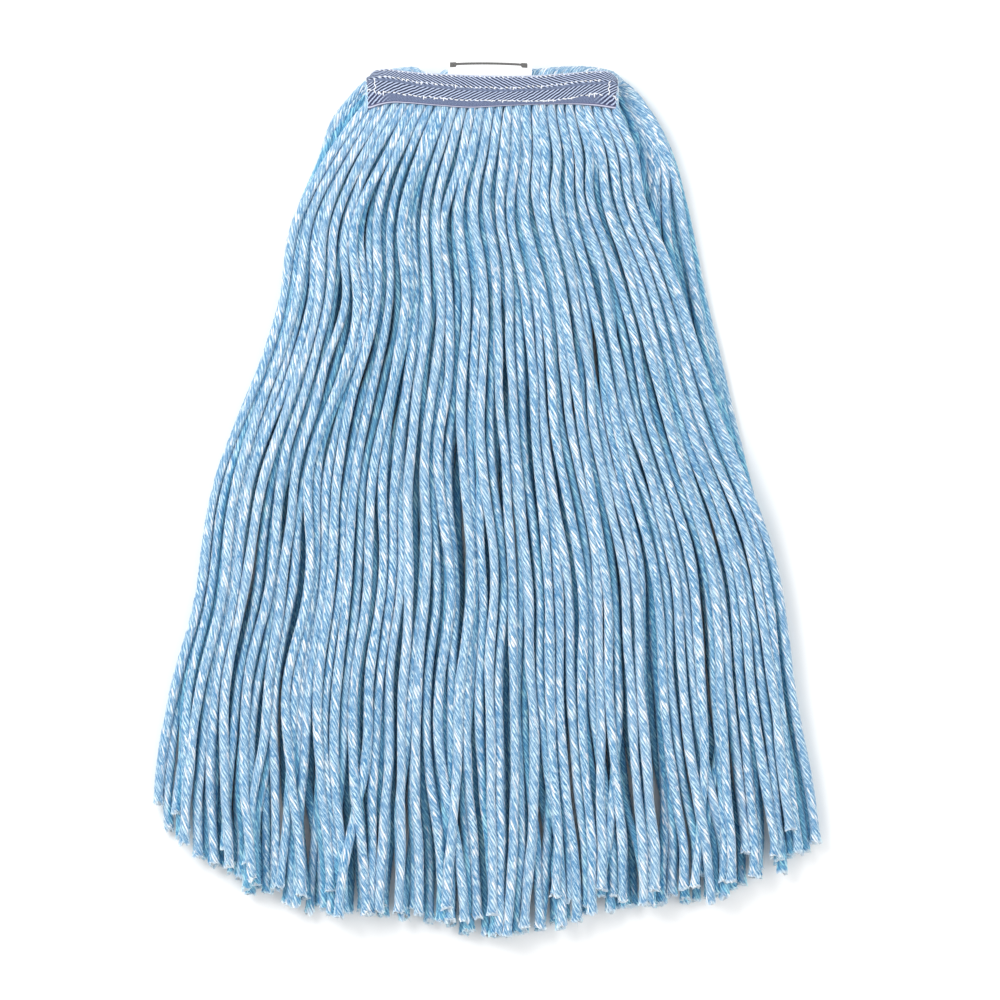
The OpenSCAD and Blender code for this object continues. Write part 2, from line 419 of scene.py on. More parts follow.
# ---------------------------------------------------------------- twisted yarn and thread as a mesh
class Twist:
    """How a yarn is made: thickness, plies, length of a turn, mesh step and each ply's (place, reach) section."""

    def __init__(self, radius, plies, pitch, step, section, slub=0.0):
        self.radius, self.plies, self.pitch, self.step, self.slub = radius, plies, pitch, step, slub
        self.per_ply = len(section)
        self.ring = self.per_ply * plies
        place, reach = np.array(section).T
        self.shape = np.tile(reach, plies)
        self.angle = np.concatenate([(p + place) * 2 * math.pi / plies for p in range(plies)])


MOP_YARN = Twist(YARN_R, plies=8, pitch=33.0, step=2.3, section=((0, 0.86), (0.5, 1.0)), slub=0.22)
THREAD = Twist(0.42, plies=3, pitch=2.6, step=0.32, section=((0, 0.72), (0.36, 0.985), (0.64, 0.985)))
# Shift of each strand's lengthwise texture coordinate, so that no two look alike
STRAND_OFFSET = 617.0
CUT_LENGTH = 9.0
# Limits of the uneven thickness
THINNEST, THICKEST = -0.09, 0.11


def even_points(path, step):
    """The path as points at an even distance along it, with that distance."""
    along = np.concatenate([[0], np.cumsum(np.linalg.norm(np.diff(path, axis=0), axis=1))])
    count = max(int(along[-1] / step), 4)
    at = np.linspace(0, along[-1], count + 1)
    return np.column_stack([np.interp(at, along, path[:, k]) for k in range(3)]), at


def frames(points):
    """Two directions square to the strand at each point."""
    tangent = np.gradient(points, axis=0)
    tangent /= np.linalg.norm(tangent, axis=1)[:, None]
    axis = np.array([1.0, 0, 0]) if np.abs(tangent[:, 0]).mean() < 0.7 else np.array([0, 1.0, 0])
    side = axis - (tangent @ axis)[:, None] * tangent
    side /= np.linalg.norm(side, axis=1)[:, None]
    return tangent, side, np.cross(tangent, side)


class Yarn:
    """One strand's ring of vertices at every step along it."""

    def __init__(self, path, index, twist, girth=None, frayed=False):
        self.points, self.along = even_points(path, twist.step)
        for k in range(3):
            self.points[:, k] = blurred(self.points[:, k], 1.6)
        tangent, side, up = frames(self.points)
        slub = blurred(rng.normal(size=len(self.along)), 4) * twist.slub
        radius = twist.radius * (1 + np.clip(slub, THINNEST, THICKEST))
        if girth:
            radius = radius * girth(self.points)
        turn = -2 * math.pi * self.along / twist.pitch + rng.random() * 6
        self.cut = np.clip(1 - (self.along[-1] - self.along) / CUT_LENGTH, 0, 1) * frayed
        splay = rng.uniform(0.05, 0.4)
        shape = twist.shape[None] ** (1 + 2.2 * self.cut[:, None])
        angle = twist.angle[None] + turn[:, None]
        reach = (radius * (1 + splay * self.cut**2))[:, None] * shape
        flat = 1 - 0.35 * self.cut[:, None, None] ** 2
        outward = np.cos(angle)[..., None] * side[:, None] + flat * np.sin(angle)[..., None] * up[:, None]
        self.rings = self.points[:, None] + reach[..., None] * outward
        if frayed:
            ragged = np.repeat(rng.normal(size=twist.plies), twist.per_ply) * 0.9
            ragged = ragged + rng.normal(size=twist.ring) * 0.5
            self.rings[-1] += ragged[:, None] * tangent[-1]
            self.rings[-2] += 0.4 * ragged[:, None] * tangent[-1]
        self.index, self.twist, self.tangent, self.side, self.up = index, twist, tangent, side, up
        self.tint = rng.random()


class Bundle:
    """Many pieces of yarn in one mesh."""

    def __init__(self, uv_name):
        self.verts, self.faces, self.uvs, self.cut, self.crown, self.tint = [], [], [], [], [], []
        self.count, self.uv_name = 0, uv_name

    def add(self, yarn, first=0, last=None):
        last = len(yarn.along) - 1 if last is None else last
        ring = yarn.twist.ring
        rings = yarn.rings[first : last + 1]
        n = len(rings)
        ids = self.count + np.arange(n * ring).reshape(n, ring)
        nxt = np.roll(ids, -1, axis=1)
        quads = np.stack([ids[:-1], nxt[:-1], nxt[1:], ids[1:]], axis=-1).reshape(-1, 4)
        around = np.concatenate([yarn.twist.angle, [2 * math.pi]]) / (2 * math.pi)
        u0, u1 = (np.broadcast_to(a, (n - 1, ring)) for a in (around[:-1], around[1:]))
        v = yarn.along[first : last + 1] + STRAND_OFFSET * yarn.index
        v0, v1 = (np.broadcast_to(a[:, None], (n - 1, ring)) for a in (v[:-1], v[1:]))
        corners = [(u0, v0), (u1, v0), (u1, v1), (u0, v1)]
        self.uvs.append(np.stack([np.stack(c, -1) for c in corners], 2).reshape(-1, 2))
        self.verts.append(rings.reshape(-1, 3))
        self.faces += [tuple(q) for q in quads.tolist()]
        for cap, at_v in ((ids[0][::-1], v[0]), (ids[-1], v[-1])):
            self.faces.append(tuple(cap.tolist()))
            self.uvs.append(np.column_stack([np.linspace(0, 1, ring), np.full(ring, at_v)]))
        self.cut.append(np.repeat(yarn.cut[first : last + 1], ring))
        # 1 on a ply's crown, 0 in the groove between plies; the yarn material paints shade into the grooves from it
        self.crown.append(np.tile(yarn.twist.shape > 0.9, n).astype(float))
        self.tint.append(np.full(n * ring, yarn.tint))
        self.count += n * ring

    def add_fibres(self, yarn, how_many=12):
        """Loose fibres at the cut end."""
        end, tangent = yarn.points[-1], yarn.tangent[-1]
        for _ in range(how_many):
            turn = rng.random() * 2 * math.pi
            out = math.cos(turn) * yarn.side[-1] + math.sin(turn) * yarn.up[-1]
            root = end + out * YARN_R * rng.uniform(0.2, 1.1) - tangent * rng.uniform(0.4, 3)
            heading = tangent + out * rng.uniform(0.1, 0.9)
            heading /= np.linalg.norm(heading)
            across = np.cross(heading, yarn.up[-1] + 0.3 * yarn.side[-1])
            across /= np.linalg.norm(across)
            third = np.cross(heading, across)
            width, tip = rng.uniform(0.12, 0.26), root + heading * rng.uniform(1.5, 4.2)
            base = [root + width * (math.cos(a) * across + math.sin(a) * third) for a in (0, 2.1, 4.2)]
            self.verts.append(np.array(base + [tip]))
            a = self.count
            self.faces += [(a, a + 1, a + 3), (a + 1, a + 2, a + 3), (a + 2, a, a + 3), (a + 2, a + 1, a)]
            self.uvs.append(np.tile([[0.5, STRAND_OFFSET * yarn.index]], (12, 1)))
            for values, value in ((self.cut, 1.0), (self.crown, 1.0), (self.tint, yarn.tint)):
                values.append(np.full(4, value))
            self.count += 4

    def object(self, name, heap=None):
        verts = np.vstack(self.verts)
        made = mesh_object(name, verts, self.faces)
        layer = made.data.uv_layers.new(name=self.uv_name)
        layer.data.foreach_set("uv", np.vstack(self.uvs).astype(np.float32).ravel())
        parts = {"cut": self.cut, "crown": self.crown, "tint": self.tint}
        fields = {label: np.concatenate(values) for label, values in parts.items()}
        if heap:
            # The depth below the pile's top feeds the painted shade in the gaps between strands
            fields["depth"] = heap.depth(verts)
        for label, values in fields.items():
            attribute = made.data.attributes.new(label, "FLOAT", "POINT")
            attribute.data.foreach_set("value", values.astype(np.float32))
        return made


def mesh_object(name, verts, faces, sharp=70):
    """A smooth-shaded object from points in millimetres."""
    mesh = bpy.data.meshes.new(name)
    mesh.from_pydata((np.asarray(verts) * MM).tolist(), [], faces)
    mesh.polygons.foreach_set("use_smooth", np.ones(len(mesh.polygons), bool))
    mesh.update()
    mesh.set_sharp_from_angle(angle=math.radians(sharp))
    made = bpy.data.objects.new(name, mesh)
    bpy.context.scene.collection.objects.link(made)
    return made


# ---------------------------------------------------------------- material helpers
class Nodes:
    """Short calls for building a material's node tree."""

    def __init__(self, name, roughness=0.9):
        self.material = bpy.data.materials.new(name)
        self.material.use_nodes = True
        self.tree = self.material.node_tree
        self.shader = self.tree.nodes["Principled BSDF"]
        self.shader.inputs["Roughness"].default_value = roughness

    def new(self, kind, **settings):
        made = self.tree.nodes.new(kind)
        for key, value in settings.items():
            setattr(made, key, value)
        return made

    def link(self, out, into):
        self.tree.links.new(out, into)

    def value(self, into, given):
        if isinstance(given, bpy.types.NodeSocket):
            self.link(given, into)
        else:
            into.default_value = given

    def math(self, operation, *given):
        made = self.new("ShaderNodeMath", operation=operation)
        for socket, one in zip(made.inputs, given):
            self.value(socket, one)
        return made.outputs[0]

    def attribute(self, name):
        return self.new("ShaderNodeAttribute", attribute_name=name).outputs["Fac"]

    def uv(self, name):
        split = self.new("ShaderNodeSeparateXYZ")
        self.link(self.new("ShaderNodeUVMap", uv_map=name).outputs[0], split.inputs[0])
        return split.outputs[0], split.outputs[1]

    def vector(self, x, y, z=0.0):
        made = self.new("ShaderNodeCombineXYZ")
        for socket, one in zip(made.inputs, (x, y, z)):
            self.value(socket, one)
        return made.outputs[0]

    def noise(self, vector, scale, detail=2.0, roughness=0.5):
        made = self.new("ShaderNodeTexNoise")
        self.link(vector, made.inputs["Vector"])
        made.inputs["Scale"].default_value = scale
        made.inputs["Detail"].default_value = detail
        made.inputs["Roughness"].default_value = roughness
        return made.outputs["Fac"]

    def span(self, value, low, high, to_low=0.0, to_high=1.0):
        made = self.new("ShaderNodeMapRange")
        for socket, one in zip(made.inputs, (value, low, high, to_low, to_high)):
            self.value(socket, one)
        return made.outputs[0]

    def mix(self, share, a, b, blend="MIX"):
        made = self.new("ShaderNodeMix", data_type="RGBA", blend_type=blend)
        self.value(made.inputs["Factor"], share)
        self.value(made.inputs[6], a)
        self.value(made.inputs[7], b)
        return made.outputs[2]

    def bump(self, height, strength, distance):
        made = self.new("ShaderNodeBump")
        made.inputs["Strength"].default_value = strength
        made.inputs["Distance"].default_value = distance
        self.link(height, made.inputs["Height"])
        self.link(made.outputs[0], self.shader.inputs["Normal"])

    def colour(self, out):
        self.link(out, self.shader.inputs["Base Color"])


def rgb(red, green, blue):
    """An 8-bit display colour as the linear colour that shaders use."""
    parts = [c / 255 for c in (red, green, blue)]
    return tuple(((c + 0.055) / 1.055) ** 2.4 if c > 0.04045 else c / 12.92 for c in parts) + (1.0,)


def round_yarn(m, across, along, untwist, stretch):
    """A point on the yarn's skin for noise, with its grain turned part of the way from the plies to the axis."""
    turns = m.math("SUBTRACT", across, m.math("MULTIPLY", along, untwist / MOP_YARN.pitch))
    angle = m.math("MULTIPLY", turns, 2 * math.pi)
    x = m.math("MULTIPLY", m.math("COSINE", angle), YARN_R)
    y = m.math("MULTIPLY", m.math("SINE", angle), YARN_R)
    return m.vector(x, y, m.math("MULTIPLY", along, 1 / stretch))


def yarn_material():
    m = Nodes("marled_yarn", roughness=0.92)
    across, along = m.uv("yarn")
    fibre = m.noise(round_yarn(m, across, along, 0.1, 5.0), 1.25, 2.0, 0.6)
    base = m.mix(m.span(fibre, 0.43, 0.58), rgb(75, 137, 183), rgb(212, 238, 246))
    blotch = m.noise(round_yarn(m, across, along, 0.3, 5.0), 0.42, 1.0, 0.5)
    base = m.mix(m.span(blotch, 0.44, 0.68, 0.0, 0.5), base, rgb(104, 156, 200))
    slub = m.noise(round_yarn(m, across, along, 0.4, 4.5), 0.5, 1.0, 0.45)
    base = m.mix(m.span(slub, 0.575, 0.64), base, rgb(248, 250, 250))
    base = m.mix(m.span(m.attribute("tint"), 0.0, 1.0, 0.0, 0.2), base, rgb(214, 230, 240))
    # Painted shade: the grooves between plies (crown 0) are darkened towards deep blue, standing in for the shade that
    # falls in them
    base = m.mix(m.span(m.attribute("crown"), 0.0, 0.8, 0.72, 0.0), base, rgb(58, 121, 166))
    # Painted shade: yarn lying deeper than the pile's top nearby is darkened and tinted teal, standing in for the
    # shadow and blue bounce light in the gaps between strands
    base = m.mix(m.span(m.attribute("depth"), 1.8, 5.0, 0.0, 0.9), base, (0.42, 0.82, 0.92, 1.0), "MULTIPLY")
    base = m.mix(m.span(m.attribute("cut"), 0.7, 1.0, 0.0, 0.55), base, rgb(240, 246, 247))
    m.colour(base)
    m.bump(fibre, 0.5, 0.0005)
    m.shader.inputs["Sheen Weight"].default_value = 0.2
    m.shader.inputs["Sheen Roughness"].default_value = 0.6
    return m.material


def finish_piece(piece, material):
    piece.data.materials.append(material)
    return piece


# ---------------------------------------------------------------- the yarn pieces
# Where the front strands are cut into roots and lengths
ROOT_END = 95.0
# Where the folds end below the fold's axis
FOLD_END = 2.0
# Thickness between the tapes as a share of the full one, and what is added on leaving them, just below and at the tips
HELD_THIN, LET_OUT, CROWDED, FLUFFED = 0.82, 0.18, 0.06, 0.07


def squeezed(points):
    """Strands are thin between the tapes, crowd together just below them and fluff out towards the tips."""
    below = band_edge - points[:, 1]
    crowded = CROWDED * smooth_step((below + 3) / 6) * smooth_step((60 - below) / 50)
    fluffed = FLUFFED * smooth_step((below - 120) / 300)
    return HELD_THIN + LET_OUT * smooth_step((below + 3) / 10) + crowded + fluffed


def ring_below(yarn, y, after=0):
    """The first ring past a place along Y, on the strand's way down."""
    return after + int(np.argmax(yarn.points[after:, 1] < y))


def build_yarn():
    material = yarn_material()
    paths, heap = lay_all()
    yarns = {
        key: Yarn(paths[key], n, MOP_YARN, girth=squeezed, frayed=True) for n, key in enumerate(sorted(paths))
    }
    for lock in LOCKS:
        roots, lengths, back = Bundle("yarn"), Bundle("yarn"), Bundle("yarn")
        folds = {row: Bundle("yarn") for row in ROWS}
        for i, (its_lock, row, _) in enumerate(STRANDS):
            if its_lock != lock:
                continue
            yarn = yarns["front", i]
            seam = ring_below(yarn, band_edge - ROOT_END)
            roots.add(yarn, 0, seam)
            lengths.add(yarn, seam)
            lengths.add_fibres(yarn)
            yarn = yarns["back", i]
            turned = int(np.argmax(yarn.points[:, 1]))
            seam = ring_below(yarn, fold_axis[1] - FOLD_END, turned)
            folds[row].add(yarn, 0, seam)
            back.add(yarn, seam)
            back.add_fibres(yarn)
        place_front(lock, roots, lengths, material, heap)
        place_back(lock, folds, back, material, heap)


def at(x, y, z):
    return (x * MM, y * MM, z * MM)


def place_front(lock, roots, lengths, material, heap):
    piece = finish_piece(roots.object(f"front_{lock}_roots", heap), material)
    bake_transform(piece)
    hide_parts(f"front_{lock}_strands")
    piece = finish_piece(lengths.object(f"front_{lock}_lengths", heap), material)
    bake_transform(piece)
    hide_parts(f"front_{lock}_tips")


def place_back(lock, folds, back, material, heap):
    body = f"back_{lock}_lock"
    for row, bundle in folds.items():
        piece = finish_piece(bundle.object(f"back_{lock}_fold_row_{row + 1}", heap), material)
        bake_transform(piece)
        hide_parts(f"back_{lock}_fold", "band_yarn")
    piece = finish_piece(back.object(f"back_{lock}_lengths", heap), material)
    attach(piece, body)
    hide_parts(f"back_{lock}_strands")


# ---------------------------------------------------------------- headband tape
# The front tape wraps round the headband's ends, a little inside the CAD tape's ends, and returns over the back
WRAP_R = 3.0
END_INSET = 1.6
TAPE_RETURN = 6
STRIPE_PITCH = 3.4
STRIPE_SLOPE = 2.1
FINE_PITCH = 0.9
# The weave's zones across the tape, in millimetres from its lower edge
LOWER_ROW, MIDDLE_ROW, TOP_ROW, WEAVE_H = 5.0, 13.2, 19.4, 20.4
SELVEDGE, LOWER_STRIPES, PLAIN, UPPER_STRIPES = (0.0, 1.0), (4.6, 10.8), (10.8, 12.2), (12.2, 20.0)
end_x = band_high[0] - END_INSET
flat_half = end_x - WRAP_R
band_depth = -fold_axis[2]
wrap_reach = flat_half + math.pi * WRAP_R + band_depth - 2 * WRAP_R + TAPE_RETURN

# The tape's edges and two lower rows of stitches, as heights along its width: sewing has drawn it into a soft wave
TOP_EDGE = through(
    [(-105, 5.2), (-86, 5.2), (-81.5, 7.6), (-78, 11.6), (-71, 13.6), (-58, 12.4), (-37, 10.6), (0, 9.4), (25, 9.4),
     (45, 10.6), (66, 12.2), (74, 12.3), (79, 10.4), (83, 6.4), (87, 5.2), (105, 5.2)]
)
BOTTOM_EDGE = through(
    [(-105, -12), (-86, -12.4), (-80, -12.6), (-74, -10.6), (-66, -8.9), (-56, -9.0), (-34, -10.7), (-14, -11.9),
     (0, -11.2), (25, -9.9), (58, -10), (71, -11.3), (82, -13.2), (105, -12.6)]
)
MIDDLE_STITCHES = through(
    [(-105, 0.5), (-84, 6.5), (-76, 8.4), (-48, 5.2), (-30, 3.3), (5, 1.3), (35, 2.6), (60, 5.6), (78, 6.2), (105, 0)]
)
LOWER_STITCHES = through(
    [(-105, -6), (-82, -1.6), (-60, -2.3), (-48, -4.2), (-25, -6.2), (8, -7.2), (48, -6.0), (62, -3.2), (80, -2.4),
     (105, -5)]
)


def wrap_section(s):
    """Points and outward directions (x, z) on the front tape's outer skin, at distances along it from the middle."""
    side, d = np.sign(s), np.abs(s)
    lengths = np.cumsum([flat_half, math.pi / 2 * WRAP_R, band_depth - 2 * WRAP_R, math.pi / 2 * WRAP_R])
    turn1 = np.clip((d - lengths[0]) / WRAP_R, 0, math.pi / 2)
    turn2 = np.clip((d - lengths[2]) / WRAP_R, 0, math.pi / 2)
    turn = turn1 + turn2
    down = np.clip(d - lengths[1], 0, band_depth - 2 * WRAP_R)
    back = np.clip(d - lengths[3], 0, None)
    x = np.minimum(d, flat_half) + WRAP_R * np.sin(turn) - back
    z = -WRAP_R * (1 - np.cos(turn1)) - down - WRAP_R * np.sin(turn2)
    return side * x, z, side * np.sin(turn), np.cos(turn)


def weave_y(s, v):
    """Y on the front tape at s along it and v across its weave, which follows the rows of stitches."""
    levels = [BOTTOM_EDGE(s), LOWER_STITCHES(s), MIDDLE_STITCHES(s), TOP_EDGE(s)]
    low, lower, middle, top = (np.broadcast_to(level, v.shape) for level in levels)
    top = np.maximum(top, middle + 1.5)
    first = low + (lower - low) * v / LOWER_ROW
    second = lower + (middle - lower) * (v - LOWER_ROW) / (MIDDLE_ROW - LOWER_ROW)
    third = middle + (top - middle) * (v - MIDDLE_ROW) / (WEAVE_H - MIDDLE_ROW)
    return np.where(v < LOWER_ROW, first, np.where(v < MIDDLE_ROW, second, third))


def inside_zone(v, zone, edge=0.25):
    return smooth_step((v - zone[0]) / edge) * smooth_step((zone[1] - v) / edge)


def weave_relief(s, v):
    """Height of the woven surface: twill ridges, sewn-down rows and a soft crown between them."""
    rising = np.sin(2 * math.pi * (s - STRIPE_SLOPE * v) / STRIPE_PITCH)
    falling = np.sin(2 * math.pi * (s + STRIPE_SLOPE * v) / STRIPE_PITCH)
    ends = inside_zone(v, (SELVEDGE[1], LOWER_STRIPES[0])) * smooth_step((np.abs(s) - 68) / 6)
    ridges = 0.13 * (rising * (inside_zone(v, LOWER_STRIPES) + ends) + falling * inside_zone(v, UPPER_STRIPES))
    fine = 0.035 * np.sin(2 * math.pi * s / FINE_PITCH) * inside_zone(v, PLAIN)
    rows = sum(-0.30 * np.exp(-(((v - row) / 0.75) ** 2)) for row in (LOWER_ROW, MIDDLE_ROW, TOP_ROW))
    near_rows = sum(np.exp(-(((v - row) / 1.6) ** 2)) for row in (LOWER_ROW, MIDDLE_ROW))
    sewn = 0.06 * np.sin(2 * math.pi * s / STRIPE_PITCH) * near_rows
    rolled = 0.22 * np.exp(-(((v - 0.7) / 0.5) ** 2))
    swell = 0.25 * np.sin(s / 9.0 + 1.3) * np.sin(s / 23.0) + 0.12 * np.sin(s / 5.1 + v / 4)
    return ridges + fine + rows + sewn + rolled + swell


def shell(name, s, outline, point):
    """A closed cloth band: for each s, a loop of (v, how deep below the outer skin) points swept along s."""
    v, deep = np.array(outline).T
    grid_s, grid_v = np.meshgrid(s, v, indexing="ij")
    verts = point(grid_s, grid_v, np.broadcast_to(deep, grid_s.shape))
    n, m = grid_s.shape
    ids = np.arange(n * m).reshape(n, m)
    nxt = np.roll(ids, -1, axis=1)
    quads = np.stack([ids[:-1], ids[1:], nxt[1:], nxt[:-1]], axis=-1).reshape(-1, 4)
    faces = [tuple(q) for q in quads.tolist()] + [tuple(ids[0].tolist()), tuple(ids[-1][::-1].tolist())]
    made = mesh_object(name, verts.reshape(-1, 3), faces)
    layer = made.data.uv_layers.new(name="tape")
    loops = np.zeros(len(made.data.loops), np.int32)
    made.data.loops.foreach_get("vertex_index", loops)
    uv = np.stack([grid_s, grid_v], -1).reshape(-1, 2)
    layer.data.foreach_set("uv", uv[loops].astype(np.float32).ravel())
    return made


def cloth_outline(v_low, v_high, thickness, step):
    """The section of a cloth band: fine outer skin, rounded long edges and a coarse inner skin."""
    r = thickness / 2
    outer = [(v, 0.0) for v in np.arange(v_low + r, v_high - r, step)]
    top = [(v_high - r + r * math.sin(a), r - r * math.cos(a)) for a in np.linspace(0, math.pi, 7)[1:-1]]
    inner = [(v, thickness) for v in np.linspace(v_high - r, v_low + r, 9)]
    bottom = [(v_low + r - r * math.sin(a), r + r * math.cos(a)) for a in np.linspace(0, math.pi, 7)[1:-1]]
    return outer + top + inner + bottom


def on_front_tape(s, v, deep=0.0):
    """A point on the front tape, in millimetres, at a depth below its outer skin."""
    x, z, nx, nz = wrap_section(s)
    skin = weave_relief(s, v) * (1 - np.clip(deep / TAPE_T, 0, 1))
    out = skin - deep
    return np.stack([x + nx * out, weave_y(s, v), z + nz * out], -1)


def on_back_tape(s, v, deep=0.0):
    """A point on the back tape, whose outer skin faces down."""
    low, high = node_box("headband_tape_back")
    y = low[1] + (high[1] - low[1]) * v / WEAVE_H
    out = 0.6 * weave_relief(s, v) * (1 - np.clip(deep / TAPE_T, 0, 1))
    return np.stack([s, y + 0 * s, low[2] - out + deep], -1)


TAPE_STEP = 0.4


def build_tapes():
    material = tape_material()
    outline = cloth_outline(0, WEAVE_H, TAPE_T, 0.36)
    along = np.arange(-wrap_reach, wrap_reach + TAPE_STEP, TAPE_STEP)
    front = shell("headband_tape_cloth", along, outline, on_front_tape)
    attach(finish_piece(front, material), "headband")
    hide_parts("headband_tape_front")
    low, high = node_box("headband_tape_back")
    outline = cloth_outline(0, WEAVE_H, TAPE_T, 0.5)[::-1]
    back = shell("headband_back_cloth", np.arange(low[0], high[0], 0.5), outline, on_back_tape)
    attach(finish_piece(back, material), "headband")
    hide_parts("headband_tape_back")


def tape_material():
    m = Nodes("herringbone_tape", roughness=0.85)
    s, v = m.uv("tape")

    def zone(low, high):
        return m.math("MULTIPLY", m.span(v, low - 0.15, low + 0.15), m.span(v, high + 0.15, high - 0.15))

    def stripes(slope):
        waver = m.math("MULTIPLY", m.math("SUBTRACT", m.noise(m.vector(s, v), 0.35, 1.0), 0.5), 0.5)
        phase = m.math("DIVIDE", m.math("ADD", s, m.math("MULTIPLY", v, slope)), STRIPE_PITCH)
        return m.math("FRACT", m.math("ADD", phase, waver))

    navy, pale, grey = rgb(6, 12, 44), rgb(200, 214, 240), rgb(70, 82, 114)
    grain = m.noise(m.vector(m.math("MULTIPLY", s, 2.2), m.math("MULTIPLY", v, 0.9)), 1.4, 3.0, 0.65)
    thread_line = m.math("SINE", m.math("MULTIPLY", s, 2 * math.pi / FINE_PITCH))
    plain = m.mix(m.span(grain, 0.35, 0.7), rgb(52, 64, 96), rgb(116, 130, 158))
    plain = m.mix(m.span(thread_line, -0.2, 1.0, 0.0, 0.35), plain, rgb(156, 170, 198))
    colour = plain
    ends = m.math("MULTIPLY", zone(SELVEDGE[1], LOWER_STRIPES[0]), m.span(m.math("ABSOLUTE", s), 66, 74))
    rising = m.math("MAXIMUM", zone(*LOWER_STRIPES), ends)
    stops = ((0.0, grey), (0.1, pale), (0.34, pale), (0.46, grey), (0.58, navy), (0.84, navy), (0.97, grey))
    for mask, slope in ((rising, -STRIPE_SLOPE), (zone(*UPPER_STRIPES), STRIPE_SLOPE)):
        ramp = m.new("ShaderNodeValToRGB")
        for place, tone in stops[1:-1]:
            ramp.color_ramp.elements.new(place).color = tone
        ramp.color_ramp.elements[0].color = stops[0][1]
        ramp.color_ramp.elements[-1].position, ramp.color_ramp.elements[-1].color = stops[-1]
        m.link(stripes(slope), ramp.inputs[0])
        colour = m.mix(mask, colour, m.mix(m.span(grain, 0.3, 0.75, 0.0, 0.35), ramp.outputs[0], grey))
    faint = m.span(m.math("SINE", m.math("MULTIPLY", m.math("ADD", s, v), 2 * math.pi / 1.7)), 0.1, 0.9, 0.0, 0.4)
    colour = m.mix(m.math("MULTIPLY", zone(SELVEDGE[1], LOWER_STRIPES[0]), faint), colour, rgb(70, 76, 120))
    colour = m.mix(m.span(v, WEAVE_H - 0.9, WEAVE_H - 0.3, 0.0, 0.8), colour, rgb(204, 212, 230))
    colour = m.mix(zone(0.4, 0.75), colour, rgb(206, 206, 224))
    colour = m.mix(zone(0.85, SELVEDGE[1] + 0.2), colour, rgb(74, 74, 108))
    colour = m.mix(m.span(v, 0.3, 0.0, 0.0, 0.8), colour, rgb(60, 62, 92))
    m.colour(colour)
    m.bump(m.noise(m.vector(m.math("MULTIPLY", s, 2.0), m.math("MULTIPLY", v, 2.0)), 1.6, 3.0, 0.7), 0.5, 0.0003)
    m.shader.inputs["Sheen Weight"].default_value = 0.15
    return m.material


# ---------------------------------------------------------------- sewing
def stitch_path(point, s0, v0, s1, v1, rise=0.34, dive=0.9, steps=15):
    """One stitch over the cloth: out of it, along it and back in."""
    t = np.linspace(0, 1, steps)
    s, v = s0 + (s1 - s0) * t, v0 + (v1 - v0) * t
    over = np.clip(np.sin(math.pi * t) * 2.6, 0, 1)
    return point(s, v, -(rise + dive) * over + dive)


def sew(name, material, node, stitches):
    bundle = Bundle("yarn")
    for n, path in enumerate(stitches):
        bundle.add(Yarn(path, n, THREAD))
    piece = finish_piece(bundle.object(name), material)
    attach(piece, "headband")
    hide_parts(node)


STITCH_PITCH = 3.1


def row_of_stitches(point, row, reach, length, tie_every=0, rise=0.3):
    """A line of stitches sunk into the cloth, with now and then a loop of thread pulled across the row."""
    found, s = [], -reach
    while s < reach - STITCH_PITCH:
        wobble = rng.normal(size=2) * 0.25
        span = length * rng.uniform(0.6, 1.25)
        ends = (s, row + wobble[0] + 0.2, s + span, row + wobble[1] - 0.2)
        found.append(stitch_path(point, *ends, rise * rng.uniform(0.5, 1.2)))
        if tie_every and rng.random() < 1 / tie_every:
            height = rng.uniform(1.2, 2.6)
            ends = (s, row + 0.3 * height, s + rng.normal() * 0.3, row - 0.7 * height)
            found.append(stitch_path(point, *ends, rise))
        s += STITCH_PITCH * rng.uniform(0.85, 1.15)
    return found


def bar_tack(side):
    """A short zigzag of thread across the ends of the rows, with a loose tail."""
    turns, low, high = 6, LOWER_ROW - 0.6, MIDDLE_ROW - 0.5
    at_s = [side * (flat_half - 2.6 + (0.6 if n % 2 else -0.6)) + rng.normal() * 0.2 for n in range(turns)]
    at_v = np.linspace(low, high, turns)
    found = [
        stitch_path(on_front_tape, at_s[n], at_v[n], at_s[n + 1], at_v[n + 1], rise=0.12) for n in range(turns - 1)
    ]
    t = np.linspace(0, 1, 40)
    s = side * (flat_half - 0.5 + 3.4 * t)
    v = (LOWER_ROW + 1.0 if side < 0 else LOWER_ROW - 1.0) + 1.4 * np.sin(5 * t + side) * t
    found.append(on_front_tape(s, v, 0.5 - 1.0 * smooth_step(t * 4)))
    return found


def thread_material():
    m = Nodes("sewing_thread", roughness=0.6)
    across, along = m.uv("yarn")
    fine = m.noise(m.vector(m.math("MULTIPLY", across, 9.0), m.math("MULTIPLY", along, 0.6)), 2.0, 2.0)
    m.colour(m.mix(m.span(fine, 0.3, 0.7), rgb(214, 218, 226), rgb(250, 250, 250)))
    m.bump(fine, 0.3, 0.0001)
    m.shader.inputs["Sheen Weight"].default_value = 0.3
    return m.material


def build_sewing():
    material = thread_material()
    reach = flat_half - 5
    # Each row's name, place on the weave, length of stitch, stitches to a loop (0 for no loops) and height
    rows = (("top", TOP_ROW, 1.3, 0, 0.1), ("middle", MIDDLE_ROW, 1.7, 4, 0.26), ("bottom", LOWER_ROW, 2.3, 4, 0.3))
    for label, row, length, ties, rise in rows:
        stitches = row_of_stitches(on_front_tape, row, reach, length, ties, rise)
        sew(f"stitches_{label}", material, f"needle_thread_{label}", stitches)
    _, high = node_box("headband_tape_back")
    for label, row, *_ in rows[1:]:
        stitches = row_of_stitches(on_back_tape, row, high[0] - 3, 2.3)
        sew(f"back_stitches_{label}", material, f"bobbin_thread_{label}", stitches)
    for label, side in (("left", -1), ("right", 1)):
        sew(f"end_tack_{label}", material, f"bar_tack_{label}", bar_tack(side))


# ---------------------------------------------------------------- label
LABEL_T = 0.5
RIB_PITCH = 0.9
# The dark strip across the label: its width, how far it lies below the label's edge, and its middle
STRIP_W, STRIP_DOWN, STRIP_MIDDLE = 1.5, 2.6, -0.9


